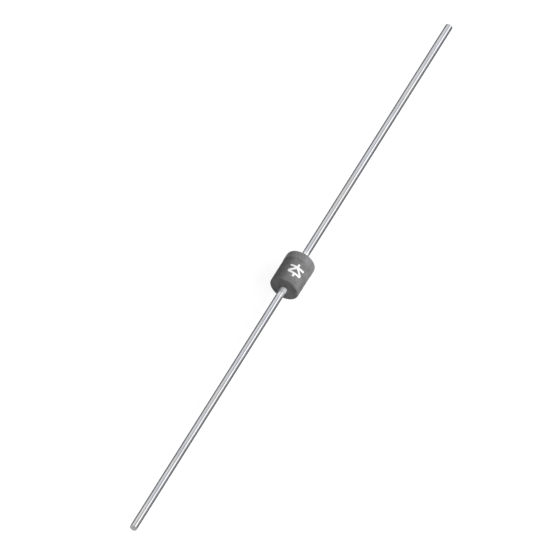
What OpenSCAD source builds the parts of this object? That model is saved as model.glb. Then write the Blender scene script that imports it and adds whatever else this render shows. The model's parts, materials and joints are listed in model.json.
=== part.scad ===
// Axial rectifier diode in a small moulded case with two straight lead wires.
// The leads lie along X: the anode lead leaves at -X and the banded cathode lead at +X.
// The origin is the middle of the moulded body, on the axis of the leads.

/* [Moulded body] */
// Diameter of the moulded body
body_d = 2.55; // [2.2:0.05:3.2]
// Length of the moulded body over its end faces
body_len = 3.3; // [2.9:0.05:4.5]
// Rounding where the wall meets each end face
edge_r = 0.14; // [0.05:0.01:0.2]
// Lean of the coned end faces, in degrees
end_draft = 3; // [1:0.5:6]
// Thickness of the flash left where the mould's two halves meet
flash_t = 0.04; // [0.03:0.005:0.08]
// How far the flash stands proud
flash_rise = 0.015; // [0.01:0.001:0.02]
// Length of the scar left on the flash by the gate, where the resin came in
gate_len = 0.6; // [0.4:0.05:0.8]
// Width of the gate scar
gate_w = 0.2; // [0.12:0.01:0.3]

/* [Lead wires] */
// Diameter of the wire
lead_d = 0.6; // [0.5:0.01:0.7]
// Free length of each lead, from the end face to the tip
lead_len = 27.4; // [20:0.1:32]
// Rounding left at the cropped tips
tip_r = 0.05; // [0.02:0.01:0.1]
// Diameter of the nail head that carries the chip
head_d = 1.1; // [1:0.02:1.24]
// Thickness of the nail head
head_t = 0.25; // [0.2:0.01:0.3]
// Radius of the fillet under the nail head
neck_r = 0.07; // [0.04:0.01:0.1]
// Lean of the shank inside the body, left by the heading die, in degrees
shank_draft = 1; // [0.5:0.1:2]
// How far the anchor collar stands proud of the wire
collar_rise = 0.15; // [0.13:0.01:0.22]
// Thickness of the collar
collar_t = 0.14; // [0.1:0.01:0.2]
// Clear length of wire between the nail head and the collar
collar_gap = 0.3; // [0.2:0.01:0.4]

/* [Chip stack] */
// Side of the square silicon chip
die_w = 1; // [0.9:0.01:1.1]
// Thickness of the chip
die_t = 0.26; // [0.2:0.01:0.32]
// Width of the mesa slope round the anode side of the chip
mesa_w = 0.1; // [0.05:0.01:0.14]
// Depth of the mesa slope
mesa_t = 0.09; // [0.05:0.01:0.14]
// Diameter of each solder joint
solder_d = 0.78; // [0.7:0.01:0.82]
// Thickness of each solder joint
solder_t = 0.05; // [0.03:0.01:0.08]
// Depth of the hollow rim of each solder joint
solder_dip = 0.02; // [0.01:0.005:0.04]
// Cover of the junction coating over the corners of the chip
coat_cover = 0.12; // [0.08:0.01:0.16]
// How far the coating laps over the rim of each nail head
coat_lap = 0.17; // [0.13:0.01:0.19]

/* [Printing] */
// Thickness of the ink
ink_t = 0.02; // [0.015:0.005:0.03]
// Width of the cathode band
band_w = 0.65; // [0.4:0.05:0.8]

/* [Hidden] */
$fn = 96;

body_r = body_d / 2;
lead_r = lead_d / 2;
edge_at = body_r - edge_r;                                      // radius of the edge rounding's centre
wall_end = body_len / 2 - edge_at * tan(end_draft) - edge_r / cos(end_draft); // half the straight wall
head_face = die_t / 2 + solder_t;                               // where each nail head meets its solder
collar_at = head_face + head_t + collar_gap;                    // where the collar starts
coat_r = die_w / sqrt(2) + coat_cover;
coat_end = head_face + coat_lap;
arc_steps = 8;

// Points [radius, station] on a round stretch about a centre, from angle a to angle b
function arc(centre, r, a, b, steps = arc_steps) =
    [for (i = [0:steps]) let (t = a + (b - a) * i / steps) centre + r * [cos(t), sin(t)]];

// A solid turned about X from its half outline, in [radius, station along X]
module turned(outline) rotate([0, 90, 0]) rotate_extrude() polygon(outline);

// The outline of the body, or of a skin proud of it: coned ends, rounded edges and a straight wall
function body_outline(proud = 0) =
    let (point = body_len / 2 + proud / cos(end_draft))
    concat(
        [[0, point]],
        arc([edge_at, wall_end], edge_r + proud, 90 - end_draft, 0),
        arc([edge_at, -wall_end], edge_r + proud, 0, end_draft - 90),
        [[0, -point]]);

// Radius of the wire's shank inside the body, which narrows to the wire at the end face
function shank_r(station) = lead_r + (body_len / 2 - station) * tan(shank_draft);

// The outline of a lead: an upset nail head, a fillet, the anchor collar, the wire and its tip
function lead_outline() =
    let (neck_at = head_face + head_t + neck_r,
         collar_r = lead_r + collar_rise - collar_t / 2,
         tip = body_len / 2 + lead_len)
    concat(
        [[0, head_face]],
        arc([(head_d - head_t) / 2, head_face + head_t / 2], head_t / 2, -90, 90),
        arc([shank_r(neck_at) + neck_r / cos(shank_draft), neck_at], neck_r, 270, 180 + shank_draft),
        [[shank_r(collar_at), collar_at]],
        arc([collar_r, collar_at + collar_t / 2], collar_t / 2, -90, 90),
        [[shank_r(collar_at + collar_t), collar_at + collar_t]],
        [[lead_r, body_len / 2]],
        arc([lead_r - tip_r, tip - tip_r], tip_r, 0, 90),
        [[0, tip]]);

// The outline of a solder joint, hollow at its rim where it draws in between chip and head
function solder_outline() = concat(
    [[0, die_t / 2]],
    [for (i = [0:arc_steps]) let (t = i / arc_steps)
        [solder_d / 2 - solder_dip * sin(180 * t), die_t / 2 + solder_t * t]],
    [[0, head_face]]);

// The outline of the coating: half an ellipse that bulges from one nail head's rim to the other's
function coat_outline() = concat(
    [[0, coat_end]],
    [for (i = [0:2 * arc_steps]) let (t = 180 * i / (2 * arc_steps))
        [head_d / 2 + (coat_r - head_d / 2) * sin(t), coat_end * cos(t)]],
    [[0, -coat_end]]);

module lead() turned(lead_outline());

module solder() turned(solder_outline());

module anode_lead() color("silver") mirror([1, 0, 0]) lead();

module cathode_lead() color("silver") lead();

module anode_solder() color("lightslategray") mirror([1, 0, 0]) solder();

module cathode_solder() color("lightslategray") solder();

// The chip, with a mesa sloped off all round its anode side
module silicon_die() {
    side = die_w / 2;
    top = side - mesa_w;
    base = die_t / 2;
    outline = [[base, side], [base, -side], [mesa_t - base, -side], [-base, -top], [-base, top],
               [mesa_t - base, side]];
    color("dimgray") intersection() {
        linear_extrude(die_w, center = true) polygon(outline);
        rotate([90, 0, 0]) linear_extrude(die_w, center = true) polygon(outline);
    }
}

// The soft bead that seals the edge of the chip between the two nail heads
module junction_coating() color("white") difference() {
    turned(coat_outline());
    lead();
    mirror([1, 0, 0]) lead();
    solder();
    mirror([1, 0, 0]) solder();
    silicon_die();
}

// The thin rib all round the mould's parting plane, widened to the gate scar on one side
module flash() intersection() {
    turned(body_outline(flash_rise));
    union() {
        cube([2 * body_len, 2 * body_d, flash_t], center = true);
        translate([0, -body_d / 2, 0]) cube([gate_len, body_d, gate_w], center = true);
    }
}

// The case, moulded round the heads, the collars and the coating
module moulded_body() color([0.2, 0.2, 0.21]) difference() {
    union() {
        turned(body_outline());
        flash();
    }
    turned(coat_outline());
    lead();
    mirror([1, 0, 0]) lead();
}

// The ring of ink round the cathode end of the straight wall, laid over the flash
module cathode_band() color([0.5, 0.5, 0.52]) difference() {
    turned([
        [body_r, wall_end - band_w],
        [body_r + ink_t, wall_end - band_w],
        [body_r + ink_t, wall_end],
        [body_r, wall_end]]);
    flash();
}

moulded_body();
anode_lead();
cathode_lead();
silicon_die();
anode_solder();
cathode_solder();
junction_coating();
cathode_band();
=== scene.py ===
# %% [markdown]
# # A small moulded rectifier diode
#
# The object is a barrel of dark epoxy, about as big as a grain of rice, on two long straight wires.
# Nothing on it moves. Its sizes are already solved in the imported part, which is loaded here as a fixed
# frame, and this script gives that part its looks.
#
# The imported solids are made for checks, so their round faces have only some forty flat sides. They could
# be shaded smooth, but their long thin triangles would show on a wire that is nearly a mirror. So the
# visible pieces are worked out again here, as fine surfaces of the same size and form. The pieces inside
# the body show only when it is cut open, so they keep their solids and get finishes.

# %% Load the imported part
import json
import math

import bpy
import numpy as np
from mathutils import Matrix, Vector

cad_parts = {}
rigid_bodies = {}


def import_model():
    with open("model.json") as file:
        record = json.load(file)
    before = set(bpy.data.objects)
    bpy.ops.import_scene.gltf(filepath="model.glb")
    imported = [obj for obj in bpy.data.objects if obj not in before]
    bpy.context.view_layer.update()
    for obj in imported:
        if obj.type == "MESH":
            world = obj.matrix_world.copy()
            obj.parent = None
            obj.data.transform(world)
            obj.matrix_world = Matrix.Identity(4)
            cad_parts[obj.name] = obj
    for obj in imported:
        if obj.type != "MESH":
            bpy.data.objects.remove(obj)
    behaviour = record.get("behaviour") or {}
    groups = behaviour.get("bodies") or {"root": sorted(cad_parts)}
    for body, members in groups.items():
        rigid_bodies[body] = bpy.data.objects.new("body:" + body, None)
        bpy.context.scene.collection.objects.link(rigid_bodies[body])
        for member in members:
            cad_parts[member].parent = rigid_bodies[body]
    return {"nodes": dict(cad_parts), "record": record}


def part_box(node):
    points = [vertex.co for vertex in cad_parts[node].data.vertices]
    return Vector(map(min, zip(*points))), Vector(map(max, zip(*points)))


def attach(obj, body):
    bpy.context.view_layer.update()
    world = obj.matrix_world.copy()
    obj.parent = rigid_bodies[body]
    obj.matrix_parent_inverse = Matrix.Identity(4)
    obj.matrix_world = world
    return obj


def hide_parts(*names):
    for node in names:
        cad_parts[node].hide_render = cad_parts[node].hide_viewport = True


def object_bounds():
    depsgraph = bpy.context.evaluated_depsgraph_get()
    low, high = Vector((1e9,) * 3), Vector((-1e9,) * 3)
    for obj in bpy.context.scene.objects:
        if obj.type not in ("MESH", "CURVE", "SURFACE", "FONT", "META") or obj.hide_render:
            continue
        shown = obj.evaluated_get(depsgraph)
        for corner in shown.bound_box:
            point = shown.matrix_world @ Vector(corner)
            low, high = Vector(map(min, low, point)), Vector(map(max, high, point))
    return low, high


for leftover in list(bpy.data.objects):
    bpy.data.objects.remove(leftover)
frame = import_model()
cad_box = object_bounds()
print("nodes:", sorted(frame["nodes"]))

# %% [markdown]
# ## Sizes
#
# The overall sizes are read from the frame, so a piece goes exactly where its solid is. The small ones,
# such as a rounding or the thickness of the flash, can't be read from a box. They are written in
# millimetres, with the values that the part was designed with, at the step that first needs them.

# %% Overall sizes, in metres
MM = 0.001
body_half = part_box("moulded_body")[1].x     # half the length over the end faces
body_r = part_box("moulded_body")[1].z        # radius of the wall
tip_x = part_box("cathode_lead")[1].x         # where each wire ends
wire_r = 0.3 * MM                           # radius of the free wire
print(f"body {2e3 * body_half:.2f} x {2e3 * body_r:.2f} mm, wires to {1e3 * tip_x:.2f} mm")

# %% [markdown]
# ## Profiles
#
# All the main pieces were turned, headed or moulded round one axis, so each is a profile carried round X.
# A profile is an array of points [station along X, radius]. Straight stretches are split into steps, so
# that the surface has points to carry fine relief, and corners are short arcs. A stack of cylinders and
# rings would be quicker to write, but its pieces would only touch. Stretches of one profile share their
# points, so the surface is closed.


# %% Stretches of a profile
def line(start, end, steps):
    """Points evenly spaced from start towards end, without end: start plus a share of the way."""
    share = np.arange(steps)[:, None] / steps
    return np.asarray(start) + share * (np.asarray(end) - np.asarray(start))


def arc(centre, radius, first, last, steps):
    """Points on a circle, first to last in degrees: the centre plus the radius times (sine, cosine)."""
    angle = np.radians(np.linspace(first, last, steps + 1))
    return np.asarray(centre) + radius * np.stack([np.sin(angle), np.cos(angle)], 1)


def path(*stretches):
    """One array of all the stretches, in order. Of points in one place, only the first is kept."""
    points = np.concatenate([np.atleast_2d(stretch) for stretch in stretches])
    gaps = np.linalg.norm(np.diff(points, axis=0), axis=1)
    return points[np.r_[True, gaps > 1e-9]]


print("a quarter circle in three steps:", arc((0, 0), 1, 0, 90, 3).round(2).tolist())

# %% [markdown]
# The wire's end inside the body is cold-formed: a flat nail head that carries the chip, a small fillet,
# and a collar that keeps the wire from pulling out of the resin. From the head to the end face it narrows
# by one degree. The wire and the hollow that it leaves in the body could be drawn apart, but here one
# stretch of profile serves both, so they fit face to face at any size.

# %% The profile of a wire
tip_r = 0.05 * MM                           # rounding of a cropped tip
shank_draft = math.radians(1)               # lean of the wire inside the body
head_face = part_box("cathode_lead")[0].x     # where the nail head meets its solder
head_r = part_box("cathode_lead")[1].z        # radius of the nail head
head_t = 0.25 * MM                          # and its thickness
neck_r = 0.07 * MM                          # fillet under the nail head
collar_gap = 0.3 * MM                       # wire between the nail head and the collar
collar_t = 0.14 * MM                        # thickness of the collar
collar_rise = 0.15 * MM                     # how far the collar stands proud of the wire


def shank(station):
    """Radius of the wire inside the body: the free wire's, plus the way to the end face times the lean."""
    return wire_r + (body_half - station) * math.tan(shank_draft)


def headed_shank():
    """From the middle of the nail head's face, over head, fillet and collar, to the body's end face."""
    rim = head_r - head_t / 2
    head_back = head_face + head_t
    neck_at = head_back + neck_r
    neck_end = 180 + math.degrees(shank_draft)
    collar_at = head_back + collar_gap
    collar_end = collar_at + collar_t
    collar_middle = (collar_at + collar_t / 2, wire_r + collar_rise - collar_t / 2)
    return path(
        line((head_face, 0), (head_face, rim), 6),
        arc((head_face + head_t / 2, rim), head_t / 2, -90, 90, 12),
        line((head_back, rim), (head_back, shank(neck_at) + neck_r), 3),
        arc((neck_at, shank(neck_at) + neck_r / math.cos(shank_draft)), neck_r, 270, neck_end, 6),
        (collar_at, shank(collar_at)),
        arc(collar_middle, collar_t / 2, -90, 90, 8),
        (collar_end, shank(collar_end)),
        line((collar_end, shank(collar_end)), (body_half, wire_r), 5),
    )


def wire_profile():
    """The headed shank, then the free wire in steps of about half a millimetre, and its rounded tip."""
    free_steps = round((tip_x - body_half) / (0.5 * MM))
    flat_r = wire_r - tip_r
    return path(
        headed_shank(),
        line((body_half, wire_r), (tip_x - tip_r, wire_r), free_steps),
        arc((tip_x - tip_r, flat_r), tip_r, 0, 90, 6),
        line((tip_x, flat_r), (tip_x, 0), 5),
        (tip_x, 0),
    )


print("wire profile:", len(wire_profile()), "points")

# %% [markdown]
# The body was moulded round the finished stack. Its skin has a straight wall, two end faces that lean a
# little so that the part leaves the mould, and soft edges. Inside, it follows the wires and the soft bead
# round the chip. A Boolean could cut that hollow out of a solid, but it would leave uneven faces. Here
# the profile is a closed loop: out over the skin from one wire to the other, and back along the hollow.

# %% The profile of the body
edge_r = 0.14 * MM                          # rounding where the wall meets an end face
end_draft = math.radians(3)                 # lean of the end faces
wall_end = body_half - (body_r - edge_r) * math.tan(end_draft) - edge_r / math.cos(end_draft)
coat_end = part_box("junction_coating")[1].x  # half the length of the bead
coat_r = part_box("junction_coating")[1].z    # and its radius


def skin_profile():
    """From the anode wire's edge, up the end face, along the wall, and down to the cathode wire's edge."""
    corner = (wall_end, body_r - edge_r)
    corner_end = corner + edge_r * np.array([math.cos(end_draft), math.sin(end_draft)])
    wire_edge = (body_half - wire_r * math.tan(end_draft), wire_r)
    far_end = path(
        arc(corner, edge_r, 0, 90 - math.degrees(end_draft), 12),
        line(corner_end, wire_edge, 16),
        wire_edge,
    )
    near_end = far_end[::-1] * (-1, 1)
    return path(near_end, line((-wall_end, body_r), (wall_end, body_r), 40), far_end)


def hollow_profile():
    """From the cathode wire's hole to the anode's: shank, head, half an ellipse over the bead, and back."""
    back = headed_shank()[::-1]
    clear_of_bead = back[back[:, 0] >= coat_end]
    angle = np.linspace(0, np.pi, 25)
    bead = np.stack([coat_end * np.cos(angle), head_r + (coat_r - head_r) * np.sin(angle)], 1)
    return path(clear_of_bead, bead, clear_of_bead[::-1] * (-1, 1))


print("skin:", len(skin_profile()), "points; hollow:", len(hollow_profile()), "points")

# %% [markdown]
# ## From a profile to a surface
#
# A surface here is a grid of points: one direction runs along the profile, the other round the axis. The
# Screw modifier could carry a profile round too. A grid is used because its points can be pushed in and
# out as one array, which the flash and the leaning cuts need. The faces come from the grid's own indices,
# so there is no loop over vertices.


# %% Grids
def ring(columns):
    """That many angles, evenly spaced once round the axis."""
    return np.linspace(0, 2 * np.pi, columns, endpoint=False)


def turned(profile, angles):
    """Points [row, column, xyz]: the station along X, and the radius times (cosine, sine) of each angle."""
    station, radius = profile[:, :1], profile[:, 1:]
    return np.stack(np.broadcast_arrays(station, radius * np.cos(angles), radius * np.sin(angles)), -1)


def grid_faces(rows, columns, wrap_rows=False):
    """Four-sided faces between neighbouring points of a grid whose columns close round."""
    row = np.arange(rows if wrap_rows else rows - 1)[:, None]
    column = np.arange(columns)[None, :]
    below = (row + 1) % rows
    right = (column + 1) % columns
    pairs = [(row, column), (row, right), (below, right), (below, column)]
    corners = np.broadcast_arrays(*[down * columns + across for down, across in pairs])
    return np.stack(corners, -1).reshape(-1, 4)


print("a grid of 3 rows and 8 columns has", len(grid_faces(3, 8)), "faces")

# %% [markdown]
# A surface is kept as three arrays: its points, its four-sided faces and its triangles. Only the poles
# have triangles. A profile that starts or ends on the axis would leave a ring of points in one place
# there. Merging them afterwards would work, but it is simpler to make that ring one point from the start,
# with a fan of triangles round it.


# %% Closed surfaces
def closed_loop(points):
    """The surface of a grid whose rows close round as its columns do. It has no triangles."""
    rows, columns = points.shape[:2]
    return points.reshape(-1, 3), grid_faces(rows, columns, wrap_rows=True), np.empty((0, 3), int)


def with_poles(points):
    """The surface of a grid whose first and last rows lie on the axis, each drawn in to one point."""
    columns = points.shape[1]
    between = points[1:-1].reshape(-1, 3)
    column = np.arange(columns)
    right = (column + 1) % columns
    first_pole = np.full(columns, len(between))
    last_pole = first_pole + 1
    last_row = len(between) - columns
    first_fan = np.stack([first_pole, right, column], 1)
    last_fan = np.stack([last_row + column, last_row + right, last_pole], 1)
    all_points = np.vstack([between, points[0].mean(0), points[-1].mean(0)])
    return all_points, grid_faces(len(points) - 2, columns), np.vstack([first_fan, last_fan])


def joined(surfaces):
    """Several surfaces as one: each one's corner numbers go up by the number of points before it."""
    starts = np.cumsum([0] + [len(points) for points, quads, triangles in surfaces])
    all_points = [points for points, quads, triangles in surfaces]
    all_quads = [quads + start for start, (points, quads, triangles) in zip(starts, surfaces)]
    all_triangles = [triangles + start for start, (points, quads, triangles) in zip(starts, surfaces)]
    return np.concatenate(all_points), np.concatenate(all_quads), np.concatenate(all_triangles)


double_cone = with_poles(turned(np.array([(0, 0), (1, 1), (2, 0)]), ring(8)))
print("a double cone with 8 sides has", len(double_cone[2]), "triangles")

# %% [markdown]
# A finished piece moves with the root body, hides the imported solid that it stands for where one is
# named, and takes its finish as its material. Its place is in its mesh, so the object itself stays at the
# origin, as a imported node does.


# %% Pieces
def piece(name, surface, finish, node=None):
    """A smooth mesh object on the root body, in place of a node where one is named."""
    points, quads, triangles = surface
    mesh = bpy.data.meshes.new(name)
    mesh.from_pydata(points, [], quads.tolist() + triangles.tolist())
    mesh.validate()
    mesh.polygons.foreach_set("use_smooth", np.ones(len(mesh.polygons), bool))
    mesh.materials.append(finish)
    made = bpy.data.objects.new(name, mesh)
    bpy.context.scene.collection.objects.link(made)
    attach(made, "root")
    if node:
        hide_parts(node)
    print(f"{name}: {len(mesh.vertices)} points, {len(mesh.polygons)} faces")


# %% [markdown]
# ## Shader sums written as Python
#
# A finish is a small tree of nodes. Wiring it by hand hides the idea, so a socket is wrapped in a class
# whose plus, minus and times add the Math nodes. Every other node comes from one method that takes the
# node's type, its settings and what goes into its sockets.


# %% A number in a finish
class Number:
    """An output socket that carries one number. Sums on it become Math nodes."""

    def __init__(self, finish, socket):
        self.finish, self.socket = finish, socket

    def sum(self, operation, *values):
        """The result of a Math node on those values."""
        node = self.finish.add("ShaderNodeMath", {"operation": operation}, dict(enumerate(values)))
        return Number(self.finish, node.outputs[0])

    def __add__(self, other):
        return self.sum("ADD", self, other)

    def __sub__(self, other):
        return self.sum("SUBTRACT", self, other)

    def __rsub__(self, other):
        return self.sum("SUBTRACT", other, self)

    def __mul__(self, other):
        return self.sum("MULTIPLY", self, other)

    def __truediv__(self, other):
        return self.sum("DIVIDE", self, other)

    def __pow__(self, other):
        return self.sum("POWER", self, other)

    def __abs__(self):
        return self.sum("ABSOLUTE", self)

    __radd__, __rmul__ = __add__, __mul__

    def either(self, other):
        """The larger of the two."""
        return self.sum("MAXIMUM", self, other)

    def rise(self, low, high):
        """0 below low and 1 above high, with a smooth step between. It falls where low is over high."""
        settings = {"interpolation_type": "SMOOTHSTEP"}
        ends = {"Value": self, "From Min": min(low, high), "From Max": max(low, high)}
        ends |= {"To Min": float(low > high), "To Max": float(low <= high)}
        return Number(self.finish, self.finish.add("ShaderNodeMapRange", settings, ends).outputs[0])


# %% [markdown]
# The second class holds the tree itself, and the few patterns that the finishes share. All patterns read
# Object coordinates. A finished piece lies at the origin, so these are metres from the middle of the
# body, and a pattern keeps its real scale on every piece.


# %% A finish
class Finish:
    """A node tree being built, for a material or for the world."""

    def __init__(self, owner):
        owner.use_nodes = True
        self.owner, self.tree = owner, owner.node_tree
        self.tree.nodes.clear()

    def add(self, kind, settings=None, inputs=None):
        """Adds a node: its settings first, then a value or a link for each named or numbered socket."""
        node = self.tree.nodes.new(kind)
        for name, value in (settings or {}).items():
            setattr(node, name, value)
        for name, value in (inputs or {}).items():
            value = value.socket if isinstance(value, Number) else value
            if isinstance(value, bpy.types.NodeSocket):
                self.tree.links.new(value, node.inputs[name])
            else:
                node.inputs[name].default_value = value
        return node

    def place(self, scale=(1, 1, 1)):
        """The point on the piece, in metres from the middle of the body, scaled along each axis."""
        where = self.add("ShaderNodeTexCoord").outputs["Object"]
        return self.add("ShaderNodeMapping", None, {"Vector": where, "Scale": scale}).outputs[0]

    def axes(self):
        """The point's x, y and z, each as a number."""
        split = self.add("ShaderNodeSeparateXYZ", None, {0: self.place()})
        return [Number(self, out) for out in split.outputs]

    def noise(self, size, detail=2.0, scale=(1, 1, 1), roughness=0.5):
        """Cloudy noise from 0 to 1 with lumps of that size, in metres, longer where scale is under 1."""
        inputs = {"Vector": self.place(scale), "Scale": 1 / size, "Detail": detail, "Roughness": roughness}
        return Number(self, self.add("ShaderNodeTexNoise", None, inputs).outputs[0])

    def dots(self, spacing):
        """Distance to the nearest of many points scattered that far apart, as a share of that spacing."""
        inputs = {"Vector": self.place(), "Scale": 1 / spacing}
        return Number(self, self.add("ShaderNodeTexVoronoi", None, inputs).outputs[0])

    def tint(self, share, first, second):
        """The first colour where share is 0 and the second where it is 1."""
        ends = [c if isinstance(c, bpy.types.NodeSocket) else (*c, 1) for c in (first, second)]
        mix = self.add("ShaderNodeMix", {"data_type": "RGBA"}, {0: share, 6: ends[0], 7: ends[1]})
        return mix.outputs[2]

    def relief(self, height, depth, under=None):
        """A bump whose height goes from 0 to 1 over that depth, in metres, on top of another bump."""
        inputs = {"Height": height, "Strength": 1.0, "Distance": depth}
        if under:
            inputs["Normal"] = under
        return self.add("ShaderNodeBump", None, inputs).outputs[0]

    def surface(self, **inputs):
        """Ends a material with a Principled shader. Underscores in a name stand for spaces."""
        named = {name.replace("_", " "): value for name, value in inputs.items()}
        shader = self.add("ShaderNodeBsdfPrincipled", None, named)
        self.add("ShaderNodeOutputMaterial", None, {"Surface": shader.outputs[0]})
        print(f"{self.owner.name}: {len(self.tree.nodes)} nodes")
        return self.owner


def new_finish(name):
    """An empty material to build on."""
    return Finish(bpy.data.materials.new(name))


# %% [markdown]
# ## Moulded epoxy
#
# The resin is full of ground quartz and soot. It comes out of a spark-eroded mould dark grey and satin,
# with a fine even texture, a slight cloudiness from the flow, and pale specks where quartz shows at the
# surface. The soft edges rub against other parts in the bag, so they are paler and smoother. The flash
# is glossy, because it sets in the thin gap of the tool. Where the gate was broken off, the resin is
# torn, pale and rough.
#
# Over it all lies a thin clear coat with a grey tint. It darkens the body more where it is met at a
# slant, so the body looks darker towards its sides: that is painted shade. A darker colour there would
# be right for one view only. The coat's own tint is right for all of them.

# %% Epoxy
flash_half = 0.02 * MM                      # half the thickness of the flash
gate_half = Vector((0.3, 0.1)) * MM         # half the length and width of the gate scar
painted_side_shade_tint = (0.85, 0.85, 0.853, 1)          # painted shade: a coat tint that darkens the body, most towards its sides


def moulded_epoxy():
    """Cloudy dark resin. Specks, worn edges and the torn scar go over it, each by a mask from 0 to 1."""
    dark, pale = (0.178, 0.178, 0.181), (0.244, 0.244, 0.247)
    quartz_grey, worn_grey, torn_grey = (0.46, 0.46, 0.45), (0.38, 0.38, 0.38), (0.31, 0.31, 0.305)
    epoxy = new_finish("moulded_epoxy")
    x, y, z = epoxy.axes()
    radius = (y * y + z * z) ** 0.5
    cloud = epoxy.noise(0.5 * MM, detail=3.0)
    grain = epoxy.noise(0.05 * MM, detail=3.0, roughness=0.65)
    quartz = epoxy.dots(0.07 * MM).rise(0.22, 0.1)
    past_wall = (abs(x) - wall_end) / edge_r
    past_face = (radius - (body_r - edge_r)) / edge_r
    edge = (past_wall * past_face).rise(0.15, 0.5) * epoxy.noise(0.15 * MM).rise(0.35, 0.65)
    flash = abs(z).rise(1.6 * flash_half, flash_half) * radius.rise(1.2 * wire_r, 1.4 * wire_r)
    along_gate = abs(x).rise(1.15 * gate_half.x, 0.9 * gate_half.x)
    across_gate = abs(z).rise(1.3 * gate_half.y, 0.9 * gate_half.y)
    torn = along_gate * across_gate * (y * -1).rise(0.8 * body_r, 0.9 * body_r)
    colour = epoxy.tint(cloud.rise(0.3, 0.7), dark, pale)
    colour = epoxy.tint(quartz * 0.35, colour, quartz_grey)
    colour = epoxy.tint(edge * 0.45, colour, worn_grey)
    colour = epoxy.tint(torn * grain.rise(0.3, 0.6), colour, torn_grey)
    roughness = 0.42 + grain * 0.16 - edge * 0.08 - flash * 0.12 + torn * 0.2
    bump = epoxy.relief(epoxy.noise(0.2 * MM), 0.004 * MM)
    bump = epoxy.relief(grain + torn * grain * 2, 0.009 * MM, bump)
    # The coat's tint is painted shade: it darkens the body, most towards its sides.
    return epoxy.surface(
        Base_Color=colour, Roughness=roughness, Normal=bump, Specular_IOR_Level=0.12,
        Coat_Weight=1.0, Coat_Roughness=0.5, Coat_IOR=1.02, Coat_Tint=painted_side_shade_tint,
    )


finishes = {"epoxy": moulded_epoxy()}

# %% [markdown]
# ## Tinned copper wire
#
# The wire is copper, drawn through a die and plated with tin. Drawing leaves fine lines along it. The
# shader has an Anisotropic value for that, but lines of real relief also break up the edge of a
# reflection. The tin is bright where it is fresh, with greyer and faintly blue or warm stretches along
# the length, and small knocks. A grey coat tint and a dark tint on the grazing reflection darken the
# round wire towards both its sides, as the body's coat does: that is painted shade at its edges.
#
# Next to the body the tin is duller, because the grit that blasts the flash off the body hits the wire
# too. How far that stretch reaches wanders with the patches, so it has no hard edge. The cropped ends
# show a dull, sheared face.

# %% Tinned wire
crop_lean = 0.06                            # how far a cut runs back, as a share of the way up across it
painted_edge_shade_tint = (0.43, 0.434, 0.445, 1)         # painted shade: a coat tint that darkens the wire, most towards its sides


def tinned_wire():
    """Bright drawn metal. Knocks, cut ends and the blasted stretch go over it by masks from 0 to 1."""
    cool, warm, dull_grey = (0.95, 0.963, 0.992), (0.99, 0.975, 0.952), (0.62, 0.63, 0.65)
    knock_grey, shear_dark, shear_pale = (0.5, 0.5, 0.5), (0.38, 0.375, 0.37), (0.5, 0.49, 0.48)
    tin = new_finish("tinned_wire")
    x, _, z = tin.axes()
    lines = tin.noise(0.03 * MM, detail=3.0, scale=(0.02, 1, 1), roughness=0.7)
    streaks = tin.noise(0.14 * MM, scale=(0.06, 1, 1))
    patches = tin.noise(2.2 * MM)
    warmth = tin.noise(3.5 * MM, detail=1.0, scale=(0.6, 1, 1))
    dull = streaks.rise(0.35, 0.75) * 0.3 + patches.rise(0.4, 0.7) * 0.15
    knocks = tin.dots(0.9 * MM).rise(0.14, 0.05)
    cut = (abs(x) + (z + wire_r) * crop_lean).rise(tip_x - 1.2 * tip_r, tip_x - 0.8 * tip_r)
    shear = tin.noise(0.05 * MM, scale=(1, 0.15, 1)).rise(0.35, 0.65)
    past_face = abs(x) - body_half
    near_body = (past_face + patches * (0.3 * MM)).rise(1.3 * MM, 0.2 * MM)
    blasted = near_body * past_face.rise(-0.05 * MM, -0.02 * MM)
    colour = tin.tint(warmth.rise(0.35, 0.65), cool, warm)
    colour = tin.tint(dull, colour, dull_grey)
    colour = tin.tint(knocks * 0.4, colour, knock_grey)
    colour = tin.tint(cut, colour, tin.tint(shear, shear_dark, shear_pale))
    shine = 1.0 - blasted * 0.75
    roughness = 0.12 + lines * 0.08 + patches * 0.07 + cut * 0.3 + blasted * 0.2
    bump = tin.relief(lines, 0.0012 * MM)
    bump = tin.relief(patches + knocks * -0.5, 0.004 * MM, bump)
    bump = tin.relief(shear * cut, 0.01 * MM, bump)
    # The dark Specular Tint and the coat's tint are painted shade: they darken the wire towards its sides.
    return tin.surface(
        Base_Color=colour, Metallic=shine, Roughness=roughness, Normal=bump,
        Specular_Tint=(0.04, 0.04, 0.05, 1), Coat_Weight=shine - cut, Coat_Roughness=0.25,
        Coat_IOR=1.003, Coat_Tint=painted_edge_shade_tint,
    )


finishes["tinned_copper"] = tinned_wire()

# %% [markdown]
# ## Inks
#
# The band and the symbol are pad-printed. The film is thin, a little uneven, and broken by pinholes over
# the mould's texture, where the resin shows through. A mask in the epoxy's own finish could draw such a
# film, but real ink stands proud and its edge catches the light, so the films are pieces with finishes
# of their own. The grey ink gets the same coat tint as the body, the painted shade that darkens it
# towards its sides. The white one covers well and has none.


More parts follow.
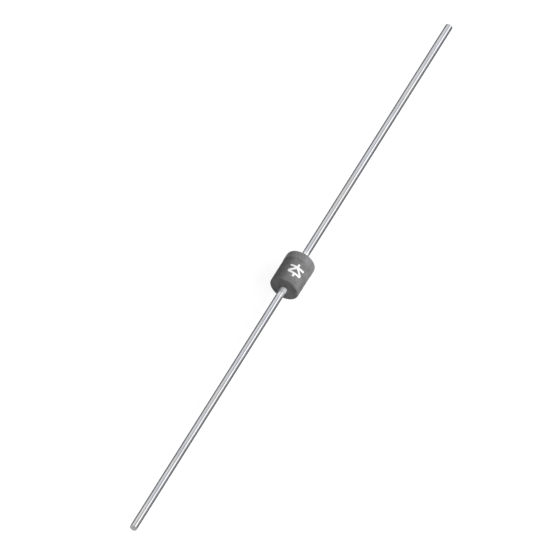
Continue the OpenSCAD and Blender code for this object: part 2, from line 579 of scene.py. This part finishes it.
# %% Ink
def ink(name, colour, thin_colour, pinholes, roughness, skin):
    """Two shades of one colour, mixed by how thick the film is, and near black in its pinholes."""
    print_ink = new_finish(name)
    thickness = print_ink.noise(0.18 * MM, detail=3.0)
    holes = print_ink.noise(0.045 * MM).rise(0.36, 0.28) * pinholes
    shade = print_ink.tint(thickness.rise(0.35, 0.7), thin_colour, colour)
    shade = print_ink.tint(holes, shade, (0.1, 0.1, 0.1))
    bump = print_ink.relief(print_ink.noise(0.05 * MM, detail=3.0), 0.004 * MM)
    # With skin at 1 the ink gets the body's coat tint, painted shade that darkens it towards its sides.
    return print_ink.surface(
        Base_Color=shade, Roughness=roughness + thickness * 0.14, Normal=bump, Specular_IOR_Level=0.3,
        Coat_Weight=skin, Coat_Roughness=0.3, Coat_IOR=1.02, Coat_Tint=painted_side_shade_tint,
    )


finishes["band_ink"] = ink(
    "band_ink", (0.26, 0.26, 0.265), (0.215, 0.215, 0.22), pinholes=0.4, roughness=0.16, skin=1.0,
)
mark_ink = ink(
    "mark_ink", (0.96, 0.96, 0.95), (0.87, 0.87, 0.87), pinholes=0.25, roughness=0.4, skin=0.0,
)

# %% [markdown]
# ## The stack inside
#
# These pieces don't show in a whole diode, but a cut-away or an exploded view has them. The chip is
# polished silicon, blue-grey and mirror-like. The joints are dull, grainy solder. The bead is white
# silicone. Finer surfaces could be made for them too, but their shapes are plain enough for the packed
# solids to be kept, so each finish goes straight onto its node.


# %% Silicon, solder and silicone
def silicon():
    """Two greys and a little roughness, both led by fine polishing streaks."""
    chip = new_finish("silicon")
    polish = chip.noise(0.12 * MM, scale=(1, 0.2, 1))
    colour = chip.tint(polish, (0.30, 0.32, 0.37), (0.40, 0.41, 0.44))
    return chip.surface(Base_Color=colour, Metallic=0.85, Roughness=0.14 + polish * 0.1)


def solder():
    """Each crystal is pale at its middle, and darker, rougher and raised at its edge."""
    joint = new_finish("solder")
    crystals = joint.dots(0.06 * MM)
    colour = joint.tint(crystals, (0.62, 0.62, 0.64), (0.45, 0.45, 0.47))
    bump = joint.relief(crystals, 0.004 * MM)
    return joint.surface(Base_Color=colour, Metallic=1.0, Roughness=0.35 + crystals * 0.2, Normal=bump)


def silicone():
    """White with a faint cloudiness, which also leads the roughness and a shallow relief."""
    bead = new_finish("silicone")
    cloud = bead.noise(0.25 * MM)
    colour = bead.tint(cloud, (0.78, 0.78, 0.75), (0.86, 0.86, 0.84))
    bump = bead.relief(cloud, 0.005 * MM)
    return bead.surface(
        Base_Color=colour, Roughness=0.28 + cloud * 0.1, Normal=bump, Specular_IOR_Level=0.4,
    )


finishes |= {"silicon": silicon(), "solder": solder(), "silicone": silicone()}
for entry in frame["record"]["subparts"]:
    frame["nodes"][entry["node"]].data.materials[0] = finishes[entry["material_slot"]]
    print(entry["node"], "gets", entry["material_slot"])

# %% [markdown]
# ## The body
#
# Round the axis the grid has a column every two degrees, and a much finer fan of columns at the two sides
# where the halves of the mould met. There the skin stands out by the flash, a rib that follows the
# parting plane over the wall and both end faces. On one side it widens to the scar where the gate was
# broken off. A rib laid on as a piece of its own would leave a seam, so the skin's own points are pushed
# outwards.

# %% The flash and the gate scar
flash_rise = 0.015 * MM                     # how far the flash stands proud


def step_down(value, edge, soft):
    """1 well below the edge and 0 well above it: over the soft width, three squares less two cubes."""
    share = np.clip((edge + soft - value) / (2 * soft), 0, 1)
    return share * share * (3 - 2 * share)


def parting_relief(points):
    """How far each skin point stands proud: the rib near the parting plane, and a rough pad at the gate."""
    x, y, z = np.moveaxis(points, -1, 0)
    rib = step_down(abs(z), flash_half, 0.3 * flash_half)
    pad = step_down(abs(x), gate_half.x, 0.03 * MM) * step_down(abs(z), gate_half.y, 0.02 * MM) * (y < 0)
    torn = 0.75 + 0.25 * np.sin(x / (0.021 * MM) + 2 * np.sin(z / (0.017 * MM)))    # crooked ripples
    return flash_rise * np.maximum(rib, pad * torn)


def outward(profile):
    """The skin's outward direction at each profile point: the tangent turned a quarter turn."""
    along = np.gradient(profile, axis=0)
    along /= np.linalg.norm(along, axis=1, keepdims=True)
    return np.stack([-along[:, 1], along[:, 0]], 1)


fan = np.radians(np.linspace(-5.5, 5.5, 45))    # a quarter of a degree apart, over the flash and the gate
coarse = np.radians(np.arange(7, 174, 2))
body_angles = np.concatenate([fan, coarse, fan + np.pi, coarse + np.pi])
print(len(body_angles), "columns round the body")

# %% [markdown]
# The skin and the hollow have the same columns, so the two grids join into one that closes round. Two
# pieces would be simpler, but a cut-away would show a shell with no thickness.

# %% The body's skin and hollow
skin = skin_profile()
skin_points = turned(skin, body_angles)
proud = parting_relief(skin_points)
proud[[0, -1]] = 0                          # the skin's edges stay on the wires
skin_points = skin_points + proud[..., None] * turned(outward(skin), body_angles)
hollow_points = turned(hollow_profile()[1:-1], body_angles)
body_surface = closed_loop(np.concatenate([skin_points, hollow_points]))
piece("epoxy_case", body_surface, finishes["epoxy"], "moulded_body")

# %% [markdown]
# ## The wires
#
# Each wire is one profile carried round, from the nail head to the cropped tip. A plain cylinder would do
# for the free wire, but it would meet the shank at the end face, just where a joint would show. A side
# cutter never leaves a square end: the cut leans a few degrees, so each tip is a little longer at the
# bottom. The anode wire is the same profile on the other side of the body. A mirrored grid would face
# inwards, so the order of its columns is turned round as well.


# %% The two wires
def wire_points(side):
    """The turned wire on that side, its tip drawn back in proportion to the height across the cut."""
    profile = wire_profile()
    points = turned(profile, ring(96))
    at_tip = profile[:, :1] > tip_x - 1.01 * tip_r      # from the point where the rounding starts
    points[..., 0] -= crop_lean * (wire_r + points[..., 2]) * at_tip
    if side < 0:
        points = points[:, ::-1] * (-1, 1, 1)
    return points


for name, side in (("cathode", 1), ("anode", -1)):
    wire_surface = with_poles(wire_points(side))
    piece(f"{name}_wire", wire_surface, finishes["tinned_copper"], f"{name}_lead")

# %% [markdown]
# ## The cathode band
#
# Pad ink wets the wall and thins out at its edges, so the film's section is a low flat dome. A tube a
# little wider than the wall would do from afar, but it would have the square edge of a tape. The band is
# a turned piece too: over the dome and back along the wall.


# %% The band
def film(across, thickness):
    """Height of an ink film at places from -1 to 1 across it: the root of one less their sixth power."""
    return thickness * np.sqrt(np.clip(1 - np.abs(across) ** 6, 0, 1))


band_low, band_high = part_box("cathode_band")
band_middle = (band_low.x + band_high.x) / 2
band_half = (band_high.x - band_low.x) / 2
across = np.sin(np.linspace(-np.pi / 2, np.pi / 2, 25))
top = np.stack([band_middle + band_half * across, body_r + film(across, band_high.z - body_r)], 1)
under = np.stack([top[::-1, 0], np.full(len(top), body_r)], 1)[1:-1]
band_surface = closed_loop(turned(np.concatenate([top, under]), ring(192)))
piece("band_film", band_surface, finishes["band_ink"], "cathode_band")

# %% [markdown]
# ## The printed symbol
#
# Where a maker would print a mark, this part has the plain schematic sign of a diode: an outlined
# triangle that points at the band, a bar, and a short line at each side. A mask in the body's finish
# would leave it flat. Each stroke is a film with round ends instead, carried along a path on the
# flattened wall and then wrapped round it: the distance across the body becomes an angle.

# %% A stroke of ink on the wall
mark_at = -0.26 * MM                        # middle of the symbol, along the body
mark_turn = math.radians(21)                # how far it is turned from the top of the body, towards -Y
mark_t = 0.012 * MM                         # thickness of the ink
sunk = 0.003 * MM                           # how far a film's underside lies below the wall
line_w = 0.185 * MM                         # width of a line
top_points = 13                             # how many points lie across the top of a line


def wrapped(flat, height):
    """Points on the wall: along the body, then round it by the distance across over the radius."""
    angle = math.pi / 2 + mark_turn - flat[..., 1] / body_r
    radius = body_r + height
    return np.stack([mark_at + flat[..., 0], radius * np.cos(angle), radius * np.sin(angle)], -1)


def stroke(middle, half):
    """Places across a middle line: the half width times a share, 1 to -1 on top and back underneath."""
    ahead = np.gradient(middle, axis=0)
    ahead /= np.linalg.norm(ahead, axis=1, keepdims=True)
    left = np.stack([-ahead[:, 1], ahead[:, 0]], 1)
    share = np.sin(np.linspace(np.pi / 2, -np.pi / 2, top_points))
    share = np.concatenate([share, share[-2:0:-1]])
    return share, middle[:, None] + left[:, None] * half[:, None, None] * share[None, :, None]


def inked(middle, half, height):
    """The stroke wrapped round the wall: a film on top and an underside, which both run out at its ends."""
    share, flat = stroke(middle, half)
    level = np.where(np.arange(len(share)) < top_points, film(share, height), -sunk)
    return wrapped(flat, np.minimum(1, 2 * half / line_w)[:, None] * level)


print(f"the symbol's lines are {1e3 * line_w:.3f} mm wide and {1e6 * mark_t:.0f} micrometres high")


# %% A straight stroke
def straight(start, end, height):
    """Past each end the half width is the root of its square less the square of the way past."""
    start, end = np.asarray(start, float), np.asarray(end, float)
    length = np.linalg.norm(end - start)
    cap = -line_w / 2 * np.cos(np.linspace(0, np.pi / 2, 9))    # closer together towards the very end
    along = np.concatenate([cap, np.linspace(0, length, 18)[1:-1], length - cap[::-1]])
    past = np.maximum(np.maximum(-along, along - length), 0)
    half = np.sqrt(np.clip((line_w / 2) ** 2 - past ** 2, 0, None))
    middle = start + (end - start) * along[:, None] / length
    return with_poles(inked(middle, half, height))


print("a straight stroke has", len(straight((0, 0), (MM, 0), mark_t)[0]), "points")

# %% [markdown]
# The triangle's stroke closes round. Three straight strokes could cross at its corners, but a printed
# line turns there, so its middle line goes round each corner on a small arc.

# %% A stroke that closes round
corner_r = 0.06 * MM                        # of the line's middle


def outline(corners, height):
    """A circle's arc about each corner, from one side's outward direction to the next, read evenly."""
    corners = np.asarray(corners, float)
    side = np.roll(corners, -1, 0) - corners
    facing = np.arctan2(-side[:, 0], side[:, 1])
    first = np.roll(facing, 1)
    angle = first[:, None] + (facing - first)[:, None] % (2 * np.pi) * np.linspace(0, 1, 9)
    loop = corners[:, None] + corner_r * np.stack([np.cos(angle), np.sin(angle)], -1)
    loop = loop.reshape(-1, 2)
    loop = np.vstack([loop, loop[:1]])
    along = np.r_[0, np.cumsum(np.linalg.norm(np.diff(loop, axis=0), axis=1))]
    even = np.linspace(0, along[-1], 151)
    middle = np.stack([np.interp(even, along, loop[:, k]) for k in (0, 1)], 1)
    middle = np.vstack([middle[-2], middle, middle[1]])         # one more at each end, for the directions
    grid = inked(middle, np.full(len(middle), line_w / 2), height)
    return closed_loop(grid[1:-2])                              # without them and the repeated first point


apex, base = 0.22 * MM, -0.36 * MM          # the triangle's two ends, along the body
wide = 0.57 * MM                            # half the width of the triangle and of the bar
half_base = wide - 1.6 * corner_r           # to the middle of a corner's rounding
corners = [(base + corner_r, half_base), (base + corner_r, -half_base), (apex - corner_r, 0)]
triangle = outline(corners, mark_t)
print("the triangle's line has", len(triangle[0]), "points")

# %% [markdown]
# Where two strokes lie at one height, a renderer can't tell which is on top and shows specks. They could
# be merged with a Boolean, but it is enough that strokes that cross differ by a micrometre.

# %% The symbol
lap = 0.001 * MM                            # how much strokes that cross differ in height
bar_at = apex + 0.05 * MM                   # just past the apex
symbol = joined([
    triangle,
    straight((bar_at, -wide), (bar_at, wide), mark_t + lap),
    straight((base - 0.26 * MM, 0), (base, 0), mark_t - lap),
    straight((bar_at, 0), (apex + 0.33 * MM, 0), mark_t - lap),
])
piece("diode_symbol", symbol, mark_ink)

# %% [markdown]
# ## The table
#
# The part lies on a pale table. Turning the lamps up until a matt table is white would bleach the part as
# well. So where the table is looked at or mirrored, most of its white is its own, and it still takes the
# part's shadow. To the light that bounces it is plain matt white.


# %% Floor
def looked_at(finish):
    """1 for rays that come from the camera, or through glass or a mirror, and 0 for bounced light."""
    rays = finish.add("ShaderNodeLightPath").outputs
    seen = Number(finish, rays["Is Camera Ray"]).either(Number(finish, rays["Is Glossy Ray"]))
    return seen.either(Number(finish, rays["Is Transmission Ray"]))


def floor_finish():
    """Matt white where light bounces, and a glow plus a little matt white where it is looked at."""
    table = new_finish("floor")
    plain = table.add("ShaderNodeBsdfDiffuse", None, {"Color": (0.75, 0.75, 0.75, 1)}).outputs[0]
    matt = table.add("ShaderNodeBsdfDiffuse", None, {"Color": (0.16, 0.16, 0.16, 1)}).outputs[0]
    glow = table.add("ShaderNodeEmission", None, {"Color": (1, 1, 1, 1), "Strength": 0.92}).outputs[0]
    bright = table.add("ShaderNodeAddShader", None, {0: matt, 1: glow}).outputs[0]
    both = table.add("ShaderNodeMixShader", None, {0: looked_at(table), 1: plain, 2: bright}).outputs[0]
    table.add("ShaderNodeOutputMaterial", None, {"Surface": both})
    return table.owner


reach = 3.0                                 # from the part to each edge of the table
level = cad_box[0][2]                       # the lowest point of the part, which lies on the table
table_corners = [(-reach, -reach), (reach, -reach), (reach, reach), (-reach, reach)]
floor_mesh = bpy.data.meshes.new("floor")
floor_mesh.from_pydata([(x, y, level) for x, y in table_corners], [], [(0, 1, 2, 3)])
floor_mesh.materials.append(floor_finish())
floor = bpy.data.objects.new("floor", floor_mesh)
bpy.context.scene.collection.objects.link(floor)
print(f"floor {2 * reach:.0f} m wide, {-1e3 * level:.3f} mm below the axis")

# %% [markdown]
# ## Light
#
# A weak even sky fills the shadows. The wires mirror it as well, and a dim sky would turn them dark grey,
# so it is white wherever it is looked at.


# %% World
def sky(fill, seen):
    """A plain white world: bright where it is looked at or mirrored, dimmer where it lights surfaces."""
    world = bpy.data.worlds.new("sky")
    bpy.context.scene.world = world
    air = Finish(world)
    strength = looked_at(air) * (seen - fill) + fill
    back = air.add("ShaderNodeBackground", None, {"Color": (1, 1, 1, 1), "Strength": strength}).outputs[0]
    air.add("ShaderNodeOutputWorld", None, {"Surface": back})
    print(f"sky: {fill} on surfaces, {seen} where it is looked at")


sky(fill=0.22, seen=1.0)

# %% [markdown]
# A wire is a mirror bent round one axis, so the camera sees in it only what lies on one cone of
# directions. One large panel could light the body, but the wires would mirror all of it and lose their
# line. So three panels share the work:
#
# - The key stands to the right of the part and beyond it, on that cone. It draws the bright line along
#   each wire.
# - The ceiling panel shows in mirrors only. It makes the even grey beside that line.
# - The side lamp is left out of mirrors. It lights the matt body from the right, so the body goes from
#   dark to light across. It stands a little nearer than the body's middle, which keeps the root of the
#   near wire out of the body's shadow.


# %% Lamps
def soft_box(name, lean, ahead, distance, width, length, radiance):
    """A panel facing the part: leant from straight up towards -Y, then tipped ahead towards +X, in degrees.
    Its width goes round the wires' axis and its length along it. It is as bright as the radiance."""
    lamp = bpy.data.lights.new(name, "AREA")
    lamp.shape, lamp.size, lamp.size_y = "RECTANGLE", width, length
    lamp.energy = radiance * math.pi * width * length
    made = bpy.data.objects.new(name, lamp)
    turn = Matrix.Rotation(math.radians(lean), 3, "X") @ Matrix.Rotation(math.radians(ahead), 3, "Y")
    made.location = turn @ Vector((0, 0, distance))
    made.rotation_euler = (turn @ Matrix.Rotation(math.pi / 2, 3, "Z")).to_euler()
    made.visible_camera = False
    bpy.context.scene.collection.objects.link(made)
    print(f"{name}: {lamp.energy:.2f} W")
    return made


soft_box("key", lean=52, ahead=35, distance=0.45, width=0.24, length=0.55, radiance=2.4)
side_lamp = soft_box("side", lean=56, ahead=-8, distance=0.45, width=0.3, length=0.4, radiance=4.6)
side_lamp.visible_glossy = False
ceiling = soft_box("ceiling", lean=-33, ahead=35, distance=0.4, width=0.43, length=0.6, radiance=1.1)
ceiling.visible_diffuse = False

# %% [markdown]
# ## Camera
#
# The camera looks down along the wires at a slant, so that one end face, the wall and both wires show. A
# close camera would make the near wire much wider than the far one. A long lens from a good distance
# keeps them about the same.


# %% Camera
def look(azimuth, elevation, distance, frame_width, right, up):
    """A camera that sees that width across the body, with the body moved off the middle by right and up."""
    azimuth, elevation = math.radians(azimuth), math.radians(elevation)
    flat = Vector((math.sin(azimuth), -math.cos(azimuth), 0))
    back = math.cos(elevation) * flat + Vector((0, 0, math.sin(elevation)))
    sideways = Vector((0, 0, 1)).cross(back).normalized()
    aim = -right * sideways - up * back.cross(sideways)
    camera = bpy.data.objects.new("camera", bpy.data.cameras.new("camera"))
    camera.data.sensor_width = 36           # in millimetres, as the lens is
    camera.data.lens = camera.data.sensor_width * distance / frame_width
    camera.data.clip_start, camera.data.clip_end = 0.01, 10
    camera.location = aim + back * distance
    camera.rotation_euler = (-back).to_track_quat("-Z", "Y").to_euler()
    bpy.context.scene.collection.objects.link(camera)
    bpy.context.scene.camera = camera
    print(f"lens {camera.data.lens:.0f} mm")


look(azimuth=-63.9, elevation=51.0, distance=2.0, frame_width=44.4 * MM, right=1.415 * MM, up=-0.01 * MM)
bpy.context.scene.view_settings.view_transform = "Standard"
